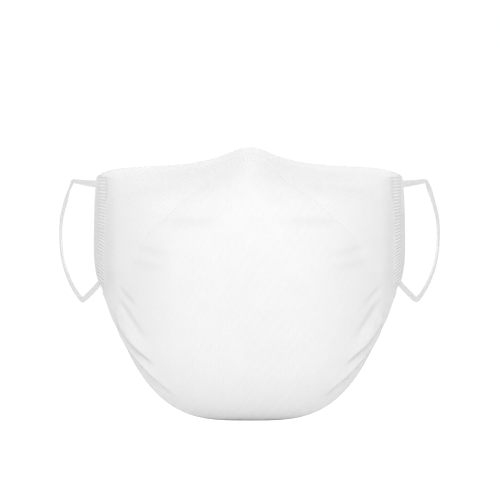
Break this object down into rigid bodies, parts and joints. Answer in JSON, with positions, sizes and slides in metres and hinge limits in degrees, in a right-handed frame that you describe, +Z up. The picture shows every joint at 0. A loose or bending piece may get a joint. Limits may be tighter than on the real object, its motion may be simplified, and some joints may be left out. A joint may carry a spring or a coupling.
{
  "type": "disposable dust mask",
  "caption": "Cup-shaped disposable dust mask in its worn shape: layered nonwoven cover, nose wire in the top hem, folded side tapes and flat elastic ear loops that swing.",
  "frame": {"origin": "midway between the two side edges at the middle of their height, in the plane that they lie in, where the mask meets the wearer's face", "axes": "+X to the right of someone who faces the mask, +Y back towards the wearer, +Z up; the mask's front faces -Y"},
  "size_m": [0.1884, 0.1336, 0.1313],
  "materials": {
    "cover_nonwoven": "matt white nonwoven",
    "filter_web": "matt white meltblown web",
    "lining_nonwoven": "soft matt white nonwoven",
    "tape_nonwoven": "matt white nonwoven with pressed ribs",
    "elastic": "matt white knitted elastic",
    "wire_metal": "satin"
  },
  "bodies": {
    "mask": {"outer_cover": "cover_nonwoven", "filter_sheet": "filter_web", "inner_lining": "lining_nonwoven", "top_hem": "cover_nonwoven", "chin_hem": "cover_nonwoven", "nose_wire": "wire_metal", "left_edge_tape": "tape_nonwoven", "right_edge_tape": "tape_nonwoven", "left_upper_loop_end": "elastic", "left_lower_loop_end": "elastic", "right_upper_loop_end": "elastic", "right_lower_loop_end": "elastic"},
    "left_loop": {"left_ear_loop": "elastic"},
    "right_loop": {"right_ear_loop": "elastic"}
  },
  "joints": [
    {"name": "left_loop_swing", "type": "hinge", "parent": "mask", "child": "left_loop", "pos_m": [-0.07168, 0.00408, -0.00023], "axis": [-0.0785, 0.0264, 0.9966], "range_deg": [-75, 80]},
    {"name": "right_loop_swing", "type": "hinge", "parent": "mask", "child": "right_loop", "pos_m": [0.07168, 0.00408, -0.00023], "axis": [0.0785, 0.0264, 0.9966], "range_deg": [-80, 75]}
  ]
}
